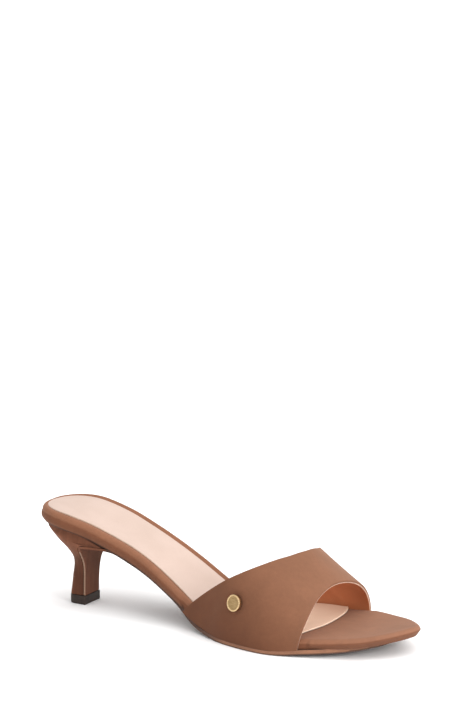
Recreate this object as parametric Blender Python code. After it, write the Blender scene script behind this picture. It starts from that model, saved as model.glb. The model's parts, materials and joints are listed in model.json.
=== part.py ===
"""Kitten heel mule: an open-toe, open-back sandal for the right foot.

Seven solids: outsole with its breast flap, wrapped footbed, sock lining, hollow
vamp band, heel, top lift and rivet.  +X points to the toe, +Y to the medial side,
+Z up from the floor.  The shoe stands on the top lift and on the ball of the outsole.
"""
import math

import bpy
import numpy as np

MM = 0.001

# Driving sizes of the last and the sole
FOOTBED_LENGTH = 240 * MM   # heel back to toe tip
SEAT_WIDTH = 52 * MM        # across the heel seat
WAIST_WIDTH = 46 * MM       # across the waist
BALL_WIDTH = 82 * MM        # across the ball joint
TOE_WIDTH = 56 * MM         # across the toe, a tenth of the length behind its tip
HEEL_ROUND = 24.5 * MM      # length of the rounded heel end
TOE_ROUND = 22.6 * MM       # length of the rounded toe end
HEEL_RISE = 48.5 * MM       # heel seat above the ball, on top of the footbed
TOE_SPRING = 7.9 * MM       # toe tip above the ball

# Layers
CLEAR = 0.3 * MM            # gap left between neighbouring solids
OUTSOLE_THICK = 2.0 * MM
FOOTBED_FORE_THICK = 5.6 * MM
FOOTBED_HEEL_THICK = 7.9 * MM
RIM_RADIUS = 3.0 * MM       # rolled upper rim of the footbed
RIM_TUCK = 1.7 * MM         # how far its lower edge is tucked in
HEEL_TUCK = 1.0 * MM        # and how much further round the heel
SOCK_THICK = 0.9 * MM
SOCK_INSET = 5.6 * MM       # rim left bare beside the sock lining
SOCK_FRONT = 187 * MM       # front end of the sock lining from the heel back
OUTSOLE_INSET = 5.0 * MM    # how far the outsole stays inside the waist
OUTSOLE_PROUD = 0.5 * MM    # its edge outside the footbed in the forefoot
OUTSOLE_TOE_INSET = 5.0 * MM  # and inside it round the toe

# Vamp band
BAND_WALL = 1.8 * MM
BAND_PROUD = 0.8 * MM       # its outer face outside the footbed
CREST_X = 202 * MM          # station where CREST_HEIGHT is read
CREST_HEIGHT = 25.3 * MM    # crest line above the floor there
CREST_SLOPE = 0.79          # rise of the crest line towards the instep
CREST_SHIFT = 0.2 * MM      # crest line towards the medial side
THROAT_BASE_X = 105.6 * MM  # rear end of the band on the lateral side
THROAT_PEAK_X = 172.0 * MM  # throat at the crest
THROAT_MEDIAL_X = 116 * MM  # rear end of the band on the medial side
TOE_EDGE_X = 191.6 * MM     # front edge at the crest
TOE_EDGE_SWEEP = 3.8 * MM   # how far the front edge falls back at its lateral base

# Heel and top lift
BREAST_X = 30.6 * MM        # breast under the seat, from the heel back
BREAST_RAKE = 2.0 * MM      # how far the breast slants back on its way down
SEAT_FRONT = 47.5 * MM      # front end of the heel under the waist
SHELF_Z = 37.5 * MM         # underside of the heel in front of its breast
SHELF_ROUND = 3.0 * MM      # bend from that underside into the breast
SEAT_INSET = 1.6 * MM       # heel inside the footbed's lower edge
STEM_LENGTH = 9.2 * MM      # tip, along the shoe
STEM_WIDTH = 16.0 * MM      # tip, across
STEM_SHIFT = -2.4 * MM      # its middle, towards the medial side
FLARE_LAG = 1.6             # the medial side flares later than the lateral one
HEEL_TURN = 0.08            # slant of the breast: it falls back by this much per side step
LIFT_HEIGHT = 5.2 * MM
LIFT_PROUD = 0.25 * MM      # top lift outside the heel's tip
FLAP_THICK = 1.3 * MM       # breast flap

# Rivet
RIVET_DIAMETER = 10 * MM
RIVET_HEIGHT = 1.5 * MM
RIVET_RIM = 0.9 * MM        # width of its raised rim
RIVET_X = 149.6 * MM
RIVET_ANGLE = 0.29          # round the arch from its lateral base, in radians

FORE_HEIGHT = OUTSOLE_THICK + CLEAR + FOOTBED_FORE_THICK
WIDTHS = {"seat": SEAT_WIDTH, "waist": WAIST_WIDTH, "ball": BALL_WIDTH, "toe": TOE_WIDTH}

# Plan of the last: station along the length, the width it follows, and the medial and
# lateral half widths as shares of that width.
PLAN = [
    # station  follows   medial  lateral
    (0.00, "seat", 0.500, 0.500),
    (0.10, "seat", 0.485, 0.503),
    (0.20, "waist", 0.587, 0.470),
    (0.30, "waist", 0.580, 0.415),
    (0.40, "waist", 0.610, 0.455),
    (0.50, "ball", 0.340, 0.345),
    (0.60, "ball", 0.420, 0.465),
    (0.70, "ball", 0.492, 0.516),
    (0.80, "ball", 0.470, 0.446),
    (0.90, "toe", 0.520, 0.491),
    (1.00, "toe", 0.262, 0.212),
]

HEEL_POWER = 2.05           # bluntness of the plan's heel end, 2 is an ellipse
TOE_POWER = 2.05            # and of its toe end

# Height of the footbed's top above the ball: station, what it follows, share of that.
PROFILE = [
    (0.00, "heel", 1.000), (0.03, "heel", 0.997), (0.06, "heel", 0.988), (0.10, "heel", 0.959),
    (0.14, "heel", 0.907), (0.18, "heel", 0.837), (0.22, "heel", 0.755), (0.27, "heel", 0.650),
    (0.32, "heel", 0.530), (0.37, "heel", 0.386), (0.42, "heel", 0.235), (0.47, "heel", 0.102),
    (0.52, "heel", 0.026), (0.57, "heel", 0.000), (0.72, "toe", 0.000), (0.80, "toe", 0.230),
    (0.85, "toe", 0.330), (0.90, "toe", 0.455), (0.95, "toe", 0.670), (1.00, "toe", 1.000),
]
RISES = {"heel": HEEL_RISE, "toe": TOE_SPRING}

# Heel sections from the tip to the bend under the seat: height of the front as a share
# of the breast, tilt as a share of the seat's own, setback as a share of BREAST_RAKE,
# length and width between tip (0) and seat (1), rounded share of the length, exponent.
HEEL_SECTIONS = [
    # height  tilt   rake    long    wide  round  power
    (0.00, 0.00, 1.00, 0.000, 0.000, 0.50, 3.4),
    (0.18, 0.00, 0.96, -0.032, 0.000, 0.56, 3.1),
    (0.36, 0.01, 0.84, -0.047, 0.015, 0.64, 2.8),
    (0.50, 0.04, 0.66, -0.046, 0.055, 0.72, 2.6),
    (0.63, 0.10, 0.48, -0.030, 0.140, 0.80, 2.4),
    (0.76, 0.24, 0.32, 0.010, 0.310, 0.88, 2.3),
    (0.89, 0.48, 0.14, 0.250, 0.560, 0.93, 2.2),
    (1.00, 0.70, 0.00, 0.670, 0.790, 0.95, 2.2),
]
SHELF_WIDE = 0.90           # width of the heel's front at its bend, between tip and seat
SHELF_TILT = 0.84           # tilt there, as a share of the seat's own

# Throat and toe edge of the band round its arch, from lateral base to medial base:
# angle as a share of the arch, share of the way from that side's base to the peak,
# and share of TOE_EDGE_SWEEP.
BAND_EDGES = [
    # angle   side       throat  sweep
    (0.0, "lateral", 0.00, 1.00),
    (0.2, "lateral", 0.708, 0.25),
    (0.3, "lateral", 0.874, 0.28),
    (0.4, "lateral", 0.967, 0.22),
    (0.5, "medial", 1.00, 0.06),
    (0.6, "medial", 0.985, 0.00),
    (0.7, "medial", 0.90, 0.06),
    (0.8, "medial", 0.71, 0.22),
    (1.0, "medial", 0.00, 0.45),
]
SIDE_POWER = 1.15           # how soon the arch leaves its crest sideways
TOP_POWER = 0.85            # how steeply its walls rise from the base


def smooth(xs, ys, x):
    """Monotone cubic curve through the points (xs, ys), read at x."""
    xs, ys, x = (np.asarray(v, float) for v in (xs, ys, x))
    step = np.diff(xs)
    slope = np.diff(ys) / step
    tangent = np.zeros_like(ys)
    same = slope[:-1] * slope[1:] > 0
    w1, w2 = 2 * step[1:] + step[:-1], step[1:] + 2 * step[:-1]
    safe0 = np.where(same, slope[:-1], 1.0)
    safe1 = np.where(same, slope[1:], 1.0)
    tangent[1:-1] = np.where(same, (w1 + w2) / (w1 / safe0 + w2 / safe1), 0.0)
    for end, s0, s1, h0, h1 in ((0, slope[0], slope[1], step[0], step[1]),
                                (-1, slope[-1], slope[-2], step[-1], step[-2])):
        steep = ((2 * h0 + h1) * s0 - h0 * s1) / (h0 + h1)
        steep = 0.0 if steep * s0 <= 0 else steep
        tangent[end] = 3 * s0 if s0 * s1 <= 0 and abs(steep) > 3 * abs(s0) else steep
    k = np.clip(np.searchsorted(xs, x, side="right") - 1, 0, len(xs) - 2)
    t = (x - xs[k]) / step[k]
    return ((1 + 2 * t) * (1 - t) ** 2 * ys[k] + t * (1 - t) ** 2 * step[k] * tangent[k]
            + t * t * (3 - 2 * t) * ys[k + 1] - t * t * (1 - t) * step[k] * tangent[k + 1])


def end_shape(x, round_length, power):
    """Share of the full width near an end at x = 0 that is rounded over round_length."""
    short = np.clip(1 - x / round_length, 0, 1)
    return np.where(x < round_length, (1 - short ** power) ** (1 / power), 1.0)


def half_widths(x):
    """Medial and lateral y of the last's plan at the stations x."""
    u = np.asarray(x, float) / FOOTBED_LENGTH
    stations = [row[0] for row in PLAN]
    medial = smooth(stations, [WIDTHS[row[1]] * row[2] for row in PLAN], u)
    lateral = smooth(stations, [WIDTHS[row[1]] * row[3] for row in PLAN], u)
    ends = (end_shape(np.asarray(x, float), HEEL_ROUND, HEEL_POWER)
            * end_shape(FOOTBED_LENGTH - np.asarray(x, float), TOE_ROUND, TOE_POWER))
    middle = 0.017 * TOE_WIDTH * np.clip(2 * u - 1, 0, 1) ** 1.5
    return middle + (medial - middle) * ends, middle - (lateral + middle) * ends


def top_height(x):
    """Top of the footbed above the floor."""
    u = np.asarray(x, float) / FOOTBED_LENGTH
    rise = smooth([row[0] for row in PROFILE], [RISES[row[1]] * row[2] for row in PROFILE], u)
    return FORE_HEIGHT + rise


def footbed_thickness(x):
    u = np.asarray(x, float) / FOOTBED_LENGTH
    return smooth([0, 0.36, 0.52, 1], [FOOTBED_HEEL_THICK] * 2 + [FOOTBED_FORE_THICK] * 2, u)


def bottom_height(x):
    return top_height(x) - footbed_thickness(x)


def blend(x, start, end):
    t = np.clip((np.asarray(x, float) - start) / (end - start), 0, 1)
    return t * t * (3 - 2 * t)


def stations():
    """Places along the length, closer together at both rounded ends and at the band's ends."""
    quarter = np.linspace(0, math.pi / 2, 11)
    heel = HEEL_ROUND * (1 - np.cos(quarter))
    toe = FOOTBED_LENGTH - TOE_ROUND * (1 - np.cos(quarter))
    middle = np.linspace(HEEL_ROUND, FOOTBED_LENGTH - TOE_ROUND, 36)[1:-1]
    return np.unique(np.round(np.concatenate([heel, middle, toe]), 7))


def loop(x_rows):
    """Closed plan outline: medial side from heel to toe, then the lateral side back."""
    medial, lateral = half_widths(x_rows)
    out = [(x, y) for x, y in zip(x_rows, medial)]
    out += [(x, y) for x, y in zip(x_rows[-2:0:-1], lateral[-2:0:-1])]
    return np.array(out)


def inset(outline, distance):
    """Outline moved inward along its normals by a distance, or by one for each point."""
    along = np.roll(outline, -1, axis=0) - np.roll(outline, 1, axis=0)
    normal = np.stack([along[:, 1], -along[:, 0]], axis=1)
    normal /= np.linalg.norm(normal, axis=1)[:, None]
    return outline + normal * np.broadcast_to(distance, len(outline))[:, None]


def clear_scene():
    for thing in list(bpy.data.objects):
        bpy.data.objects.remove(thing, do_unlink=True)


def material(name, colour, roughness, metallic=0.0):
    mat = bpy.data.materials.new(name)
    mat.use_nodes = True
    shader = mat.node_tree.nodes["Principled BSDF"]
    shader.inputs["Base Color"].default_value = (*colour, 1.0)
    shader.inputs["Roughness"].default_value = roughness
    shader.inputs["Metallic"].default_value = metallic
    return mat


def solid(name, points, faces, mat, sharp=35):
    mesh = bpy.data.meshes.new(name)
    mesh.from_pydata([tuple(p) for p in points], [], faces)
    mesh.validate()
    mesh.materials.append(mat)
    mesh.shade_smooth()
    mesh.set_sharp_from_angle(angle=math.radians(sharp))
    obj = bpy.data.objects.new(name, mesh)
    bpy.context.scene.collection.objects.link(obj)
    return obj


def cap(first, count, up):
    """Faces that close a loop by joining each medial point to its lateral partner."""
    faces = []
    for i in range(count // 2):
        quad = [i, i + 1, (count - i - 1) % count, (count - i) % count]
        quad = [first + v for v in dict.fromkeys(quad)]
        if len(quad) > 2:
            faces.append(quad if not up else quad[::-1])
    return faces


def stacked(rings, outward=True):
    """Closed skin over rings of equal length, each running heel, medial, toe, lateral."""
    count = len(rings[0])
    points = np.concatenate(rings)
    faces = cap(0, count, False)
    for k in range(len(rings) - 1):
        low, high = k * count, (k + 1) * count
        for i in range(count):
            j = (i + 1) % count
            faces.append((low + i, high + i, high + j, low + j))
    faces += cap((len(rings) - 1) * count, count, True)
    return points, faces


def lifted(outline, height):
    return np.column_stack([outline, height])


def band_cover(points_x, medial_side):
    """1 where the band lies against the footbed's side, 0 elsewhere."""
    rear = THROAT_MEDIAL_X if medial_side else THROAT_BASE_X
    return (blend(points_x, rear - 4.0 * MM, rear - 1.0 * MM)
            * (1 - blend(points_x, TOE_EDGE_X + 0.8 * MM, TOE_EDGE_X + 2.8 * MM)))


def make_footbed(mat):
    """Board wrapped in leather: rolled upper rim, tucked lower edge, recessed for the band."""
    turns = [base - back * MM for base in (THROAT_BASE_X, THROAT_MEDIAL_X) for back in (4, 2.5, 1)]
    turns += [TOE_EDGE_X + ahead * MM for ahead in (0.8, 1.8, 2.8)]
    plain = stations()
    apart = np.min(np.abs(plain[:, None] - np.array(turns)), axis=1) > 0.7 * MM
    rows = np.sort(np.concatenate([plain[apart], turns]))
    outline = loop(rows)
    recess = BAND_WALL - BAND_PROUD + CLEAR
    side = np.arange(len(outline)) <= len(rows) - 1
    cover = np.where(side, band_cover(outline[:, 0], True), band_cover(outline[:, 0], False))
    edge = inset(outline, recess * cover)
    thick = footbed_thickness(edge[:, 0])
    rings = []

    def add(distance, from_bottom, from_top):
        ring = inset(edge, distance)
        base = np.interp(ring[:, 0], rows, top_height(rows))
        low = base - np.interp(ring[:, 0], rows, footbed_thickness(rows))
        rings.append(lifted(ring, low + from_bottom if from_top is None else base - from_top))

    tuck = (RIM_TUCK + HEEL_TUCK * (1 - blend(edge[:, 0], 12 * MM, 45 * MM))) * (1 - cover)
    add(tuck + 1.6 * MM, 0.0, None)
    add(tuck + 0.5 * MM, 0.0, None)
    add(tuck, 0.5 * MM, None)
    add(tuck * 0.25, 0.40 * thick, None)
    for angle in np.radians([0, 22, 45, 68, 90]):
        add(RIM_RADIUS * (1 - np.cos(angle)), None, RIM_RADIUS * (1 - np.sin(angle)))
    add(RIM_RADIUS + 1.4 * MM, None, 0.0)
    points, faces = stacked(rings)
    return solid("footbed", points, faces, mat)


def make_sock_lining(mat):
    """Thin leather sheet glued on the footbed, rounded at the heel, cut across the toes."""
    ends = {"medial": SOCK_FRONT - 9 * MM, "lateral": SOCK_FRONT - 3 * MM}
    rows = stations()
    rows = np.unique(np.concatenate([rows[rows < ends["medial"] - 3 * MM], [ends["medial"]]]))
    outline = loop(np.concatenate([rows, [FOOTBED_LENGTH]]))
    tip = len(rows)
    hidden = 2.1 * MM + BAND_WALL - BAND_PROUD
    distance = SOCK_INSET + (hidden - SOCK_INSET) * blend(outline[:, 0], 0.50 * FOOTBED_LENGTH,
                                                          0.62 * FOOTBED_LENGTH)
    sheet = inset(outline, distance)
    medial, lateral = sheet[tip - 1], sheet[tip + 1]
    stretch = ends["lateral"] - ends["medial"]
    near = sheet[tip + 1:][::-1]
    move = stretch * blend(near[:, 0], 0.56 * FOOTBED_LENGTH, ends["medial"])
    keep_lat = half_widths(near[:, 0] + move)[1] + hidden
    near[:, 1] = np.where(move > 0, np.maximum(near[:, 1], keep_lat), near[:, 1])
    near[:, 0] += move
    sheet[tip + 1:] = near[::-1]
    lateral = sheet[tip + 1]
    across = np.linspace(0, 1, 13)[1:-1]
    ys = medial[1] + (lateral[1] - medial[1]) * across
    bulge = smooth([0, 0.12, 0.30, 0.55, 0.85, 1],
                   [0, 4.2 * MM, 7.4 * MM, 9.3 * MM, 6.0 * MM, stretch], across)
    front = np.column_stack([medial[0] + bulge, ys])
    sheet = np.concatenate([sheet[:tip], front, sheet[tip + 1:]])
    height = top_height(sheet[:, 0]) + CLEAR
    inner = inset(sheet, 0.35 * MM)
    rings = [lifted(sheet, height), lifted(sheet, height + 0.6 * SOCK_THICK),
             lifted(inner, top_height(inner[:, 0]) + CLEAR + SOCK_THICK)]
    points, faces = stacked(rings)
    return solid("sock_lining", points, faces, mat)


def seat_sides():
    """Medial and lateral y of the heel's seat at its breast."""
    medial, lateral = half_widths(np.array([BREAST_X]))
    return medial[0] - RIM_TUCK - SEAT_INSET, lateral[0] + RIM_TUCK + SEAT_INSET


def breast_side(share):
    """Medial and lateral y of the breast between the tip's width (0) and the seat's (1)."""
    medial, lateral = seat_sides()
    stem_medial, stem_lateral = STEM_SHIFT + STEM_WIDTH / 2, STEM_SHIFT - STEM_WIDTH / 2
    return (stem_medial + (medial - stem_medial) * share ** FLARE_LAG,
            stem_lateral + (lateral - stem_lateral) * share)


def d_loop(front_x, length, sides, round_share, power, count=13):
    """Section of the heel with a flat front: from its back round the medial side."""
    f = 1 - np.cos(np.linspace(0, math.pi / 2, count))
    f[-1] = 1.0
    width = end_shape(f, round_share, power)
    x = front_x - length + f * length
    middle = (sides[0] + sides[1]) / 2
    medial = np.column_stack([x, middle + width * (sides[0] - middle)])
    lateral = np.column_stack([x, middle + width * (sides[1] - middle)])
    face_y = np.linspace(sides[0], sides[1], 7)[1:-1]
    face = np.column_stack([np.full(5, front_x), face_y])
    section = np.concatenate([medial, face, lateral[:0:-1]])
    section[:, 0] -= HEEL_TURN * (section[:, 1] - middle)
    return section


def breast_rows():
    """The heel's breast from tip to seat: x, z, share of width, tilt, for each section."""
    lowest = LIFT_HEIGHT + CLEAR
    top = SHELF_Z - SHELF_ROUND
    columns = list(zip(*HEEL_SECTIONS))
    heights = np.concatenate([np.linspace(0, 0.5, 5), np.linspace(0.5, 1, 11)[1:]])
    rows = []
    for height in heights:
        tilt, rake, long, wide, rounded, power = (
            float(smooth(columns[0], column, height)) for column in columns[1:])
        rows.append((BREAST_X - BREAST_RAKE * rake, lowest + (top - lowest) * height,
                     tilt, long, wide, rounded, power))
    last = HEEL_SECTIONS[-1]
    for angle in (math.radians(45), math.radians(90)):
        part = angle / math.radians(90)
        rows.append((BREAST_X + SHELF_ROUND * (1 - math.cos(angle)),
                     SHELF_Z - SHELF_ROUND * (1 - math.sin(angle)),
                     last[1] + (SHELF_TILT - last[1]) * part,
                     last[3] + (0.97 - last[3]) * part,
                     last[4] + (SHELF_WIDE - last[4]) * part, last[5], last[6]))
    return rows


def make_heel(mat):
    """Covered kitten heel: slim stem that flares to the seat, with a flat breast."""
    seat_back = RIM_TUCK + SEAT_INSET
    seat_top = float(bottom_height(seat_back)) - CLEAR
    rings = []
    for front_x, front_z, tilt, long, wide, rounded, power in breast_rows():
        length = STEM_LENGTH + (BREAST_X - seat_back - STEM_LENGTH) * long
        flat = d_loop(front_x, length + max(front_x - BREAST_X, 0), breast_side(wide),
                      rounded, power)
        behind = np.clip((front_x - flat[:, 0]) / (front_x - seat_back), 0, 1)
        z = front_z + (seat_top - SHELF_Z) * tilt * behind
        rings.append(lifted(flat, z))
    length = SEAT_FRONT - seat_back
    medial, lateral = half_widths(np.array([SEAT_FRONT]))
    sides = medial[0] - RIM_TUCK - SEAT_INSET, lateral[0] + RIM_TUCK + SEAT_INSET
    flat = d_loop(SEAT_FRONT, length, sides, HEEL_ROUND / length, HEEL_POWER)
    seat = bottom_height(flat[:, 0]) - CLEAR
    lip = np.where(flat[:, 0] > BREAST_X + 2 * SHELF_ROUND,
                   np.minimum(seat - 0.8 * MM, SHELF_Z), seat - 1.0 * MM)
    rings += [lifted(flat, lip), lifted(flat, seat)]
    points, faces = stacked(rings)
    return solid("heel", points, faces, mat, sharp=40)


def make_top_lift(mat):
    """Rubber tip under the stem and the end of the breast flap."""
    front = BREAST_X - BREAST_RAKE + CLEAR + FLAP_THICK + LIFT_PROUD
    length = STEM_LENGTH + CLEAR + FLAP_THICK + 2 * LIFT_PROUD
    half = STEM_WIDTH / 2 + LIFT_PROUD
    rounded, power = HEEL_SECTIONS[0][5], HEEL_SECTIONS[0][6]
    flat = d_loop(front, length, (STEM_SHIFT + half, STEM_SHIFT - half), rounded, power)
    small = inset(flat, 0.4 * MM)
    rings = [lifted(small, 0.0 * flat[:, 0]), lifted(flat, 0.0 * flat[:, 0] + 0.4 * MM),
             lifted(flat, 0.0 * flat[:, 0] + LIFT_HEIGHT)]
    points, faces = stacked(rings)
    return solid("top_lift", points, faces, mat, sharp=40)


def sole_rows():
    """Upper face of the outsole from toe to breast: x, z, medial y, lateral y."""
    rows = stations()[::-1]
    rows = rows[rows > SEAT_FRONT + 1 * MM]
    free = OUTSOLE_INSET * (1 - blend(rows, 0.38 * FOOTBED_LENGTH, 0.50 * FOOTBED_LENGTH))
    proud = OUTSOLE_PROUD * blend(rows, 0.42 * FOOTBED_LENGTH, 0.50 * FOOTBED_LENGTH)
    toe = blend(rows, 0.78 * FOOTBED_LENGTH, 0.96 * FOOTBED_LENGTH)
    medial, lateral = half_widths(rows)
    middle = (medial + lateral) / 2
    keep = 1 - toe * OUTSOLE_TOE_INSET / (TOE_WIDTH / 2)
    change = free - proud * (1 - toe)
    medial, lateral = (middle + (medial - middle) * keep - change,
                       middle + (lateral - middle) * keep + change)
    x = rows - OUTSOLE_TOE_INSET * blend(rows, 0.78 * FOOTBED_LENGTH, FOOTBED_LENGTH)
    z = np.minimum(bottom_height(x), SHELF_Z) - CLEAR
    return list(zip(x, z, medial, lateral))


def flap_rows():
    """Breast of the heel as the flap follows it down: x, z, medial y, lateral y."""
    rows = []
    for front_x, front_z, _, _, wide, _, _ in breast_rows()[::-1]:
        medial, lateral = breast_side(wide)
        rows.append((front_x, front_z, medial - CLEAR, lateral + CLEAR))
    return rows


def offset_side(path):
    """Unit normals of a side-view path that runs towards the heel and then down."""
    along = np.gradient(path, axis=0)
    along /= np.linalg.norm(along, axis=1)[:, None]
    return np.column_stack([-along[:, 1], along[:, 0]])


def make_outsole(mat):
    """Thin sole under ball and waist whose rear end runs down the heel's breast as a flap."""
    sole, flap = np.array(sole_rows()), np.array(flap_rows())
    away = offset_side(flap[:, :2])
    away[0] = (0.0, -1.0)
    flap[:, :2] += away * CLEAR
    rows = np.concatenate([sole, flap])
    away = offset_side(rows[:, :2])
    away[0] = (0.0, -1.0)
    thick = FLAP_THICK + (OUTSOLE_THICK - FLAP_THICK) * blend(
        rows[:, 0], SEAT_FRONT, SEAT_FRONT + 20 * MM)
    slant = np.where(rows[:, 0] < SEAT_FRONT, HEEL_TURN, 0.0)
    points = []
    for (x, z, medial, lateral), (nx, nz), t, turn in zip(rows, away, thick, slant):
        middle = (medial + lateral) / 2
        for y, drop in ((medial, 0), (lateral, 0), (lateral, t), (medial, t)):
            points.append((x - turn * (y - middle) + nx * drop, y, z + nz * drop))
    faces = [(0, 1, 2, 3)]
    for k in range(len(rows) - 1):
        a, b = 4 * k, 4 * k + 4
        for i in range(4):
            j = (i + 1) % 4
            faces.append((a + i, b + i, b + j, a + j))
    end = 4 * (len(rows) - 1)
    faces.append((end + 3, end + 2, end + 1, end))
    return solid("outsole", points, faces, mat)


def arch(x, angle):
    """Outer face of the band: station along the length, angle round from its lateral base."""
    x, angle = np.asarray(x, float), np.asarray(angle, float)
    medial, lateral = half_widths(x)
    medial, lateral = medial + BAND_PROUD, lateral - BAND_PROUD
    base = bottom_height(x)
    crest = CREST_HEIGHT + CREST_SLOPE * (CREST_X - x)
    c, s = np.cos(angle), np.clip(np.sin(angle), 0, 1)
    reach = np.abs(c) ** SIDE_POWER
    y = np.where(c > 0, CREST_SHIFT - (CREST_SHIFT - lateral) * reach,
                 CREST_SHIFT + (medial - CREST_SHIFT) * reach)
    z = base + (crest - base) * s ** TOP_POWER
    return np.stack([x, y, z], axis=-1)


def band_edges(angle):
    """Throat and toe edge of the band at the angles round its arch."""
    share = np.asarray(angle, float) / math.pi
    bases = {"lateral": THROAT_BASE_X, "medial": THROAT_MEDIAL_X}
    nodes = [row[0] for row in BAND_EDGES]
    throat = [bases[row[1]] + (THROAT_PEAK_X - bases[row[1]]) * row[2] for row in BAND_EDGES]
    sweep = [TOE_EDGE_X - TOE_EDGE_SWEEP * row[3] for row in BAND_EDGES]
    return smooth(nodes, throat, share), smooth(nodes, sweep, share)


def arch_normal(x, angle):
    """Outward unit normal of the band's outer face."""
    step = 1e-5
    along = arch(x + step, angle) - arch(x - step, angle)
    round_ = arch(x, np.clip(angle + step, 0, math.pi)) - arch(x, np.clip(angle - step, 0, math.pi))
    normal = np.cross(along, round_)
    return normal / np.linalg.norm(normal, axis=-1, keepdims=True)


def make_band(mat):
    """The whole upper: one hollow arch with an even wall, open at throat, toe and below."""
    share = np.linspace(0, 1, 45)
    angle = math.pi * (share - 0.035 * np.sin(2 * math.pi * share))
    throat, toe_edge = band_edges(angle)
    lanes = np.linspace(0, 1, 13)
    outer, inner = [], []
    for lane in lanes:
        x = throat + (toe_edge - throat) * lane
        skin = arch(x, angle)
        normal = arch_normal(x, np.clip(angle, 0.02, math.pi - 0.02))
        normal[:, 0] *= 0.35
        normal[[0, -1], 2] = 0.0
        normal /= np.linalg.norm(normal, axis=1)[:, None]
        outer.append(skin)
        inner.append(skin - normal * BAND_WALL)
    count = len(angle)
    points = np.concatenate(outer + inner)
    faces = []
    shift = len(lanes) * count
    for k in range(len(lanes) - 1):
        for i in range(count - 1):
            a, b = k * count + i, (k + 1) * count + i
            faces.append((a, b, b + 1, a + 1))
            faces.append((shift + a, shift + a + 1, shift + b + 1, shift + b))
    for i in range(count - 1):
        a, b = i, (len(lanes) - 1) * count + i
        faces.append((a, a + 1, shift + a + 1, shift + a))
        faces.append((b, shift + b, shift + b + 1, b + 1))
    for k in range(len(lanes) - 1):
        a, b = k * count, (k + 1) * count
        faces.append((a, shift + a, shift + b, b))
        a, b = a + count - 1, b + count - 1
        faces.append((a, b, shift + b, shift + a))
    return solid("upper_band", points, faces, mat, sharp=40)


def make_rivet(mat):
    """Round flat head with a raised rim, seated on the band's lateral side."""
    centre = arch(RIVET_X, RIVET_ANGLE)
    normal = arch_normal(np.array(RIVET_X), np.array(RIVET_ANGLE))
    radius = RIVET_DIAMETER / 2
    profile = [(0.82 * radius, 0.0), (radius, 0.35 * RIVET_HEIGHT), (radius, 0.65 * RIVET_HEIGHT),
               (radius - 0.4 * RIVET_RIM, RIVET_HEIGHT), (radius - RIVET_RIM, 0.85 * RIVET_HEIGHT),
               (radius - 1.4 * RIVET_RIM, 0.60 * RIVET_HEIGHT)]
    sides = 40
    points = [(0, 0, 0)]
    for r, z in profile:
        points += [(r * math.cos(a), r * math.sin(a), z)
                   for a in np.linspace(0, 2 * math.pi, sides, endpoint=False)]
    points.append((0, 0, 0.62 * RIVET_HEIGHT))
    faces = []
    for i in range(sides):
        j = (i + 1) % sides
        faces.append((0, 1 + j, 1 + i))
        for k in range(len(profile) - 1):
            a, b = 1 + k * sides, 1 + (k + 1) * sides
            faces.append((a + i, a + j, b + j, b + i))
        a = 1 + (len(profile) - 1) * sides
        faces.append((len(points) - 1, a + i, a + j))
    side = np.cross(normal, (0.0, 0.0, 1.0))
    side /= np.linalg.norm(side)
    rise = np.cross(side, normal)
    frame = np.array([-side, rise, normal])
    lift = CLEAR + 0.25 * MM
    placed = np.array(points) @ frame + centre + normal * lift
    return solid("rivet", placed, faces, mat, sharp=40)


def main():
    clear_scene()
    nubuck = material("brown_nubuck", (0.23, 0.11, 0.065), 0.85)
    parts = [
        make_outsole(material("sole_edge", (0.42, 0.20, 0.11), 0.6)),
        make_footbed(nubuck),
        make_sock_lining(material("pale_leather", (0.80, 0.62, 0.52), 0.55)),
        make_band(material("band_nubuck", (0.22, 0.11, 0.065), 0.85)),
        make_heel(material("heel_nubuck", (0.17, 0.08, 0.05), 0.8)),
        make_top_lift(material("dark_rubber", (0.05, 0.03, 0.025), 0.6)),
        make_rivet(material("brass", (0.66, 0.47, 0.25), 0.35, 1.0)),
    ]
    corners = np.array([v.co for obj in parts for v in obj.data.vertices])
    low, high = corners.min(axis=0), corners.max(axis=0)
    middle = ((low[0] + high[0]) / 2, (low[1] + high[1]) / 2, 0.0)
    for obj in parts:
        for v in obj.data.vertices:
            v.co.x -= middle[0]
            v.co.y -= middle[1]
        obj.data.update()


main()
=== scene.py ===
# %% [markdown]
# # Dressing an open-toe kitten heel mule
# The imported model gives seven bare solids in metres: outsole, footbed, sock lining, the one wide
# vamp band, heel, top lift and rivet. This lesson turns each of them into what it is on the shoe:
# nubuck that is wrapped, lasted and folded, pale sock leather, a leatherboard sole with a tan edge,
# a rubber tip and a brass rivet. The solids stay the measure of everything, so each new piece
# starts from a copy of its solid, or is built on it from a primitive.

# %% Load the frame
import json
import math

import bpy
import bmesh
import numpy as np
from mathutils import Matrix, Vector
from mathutils.kdtree import KDTree

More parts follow.
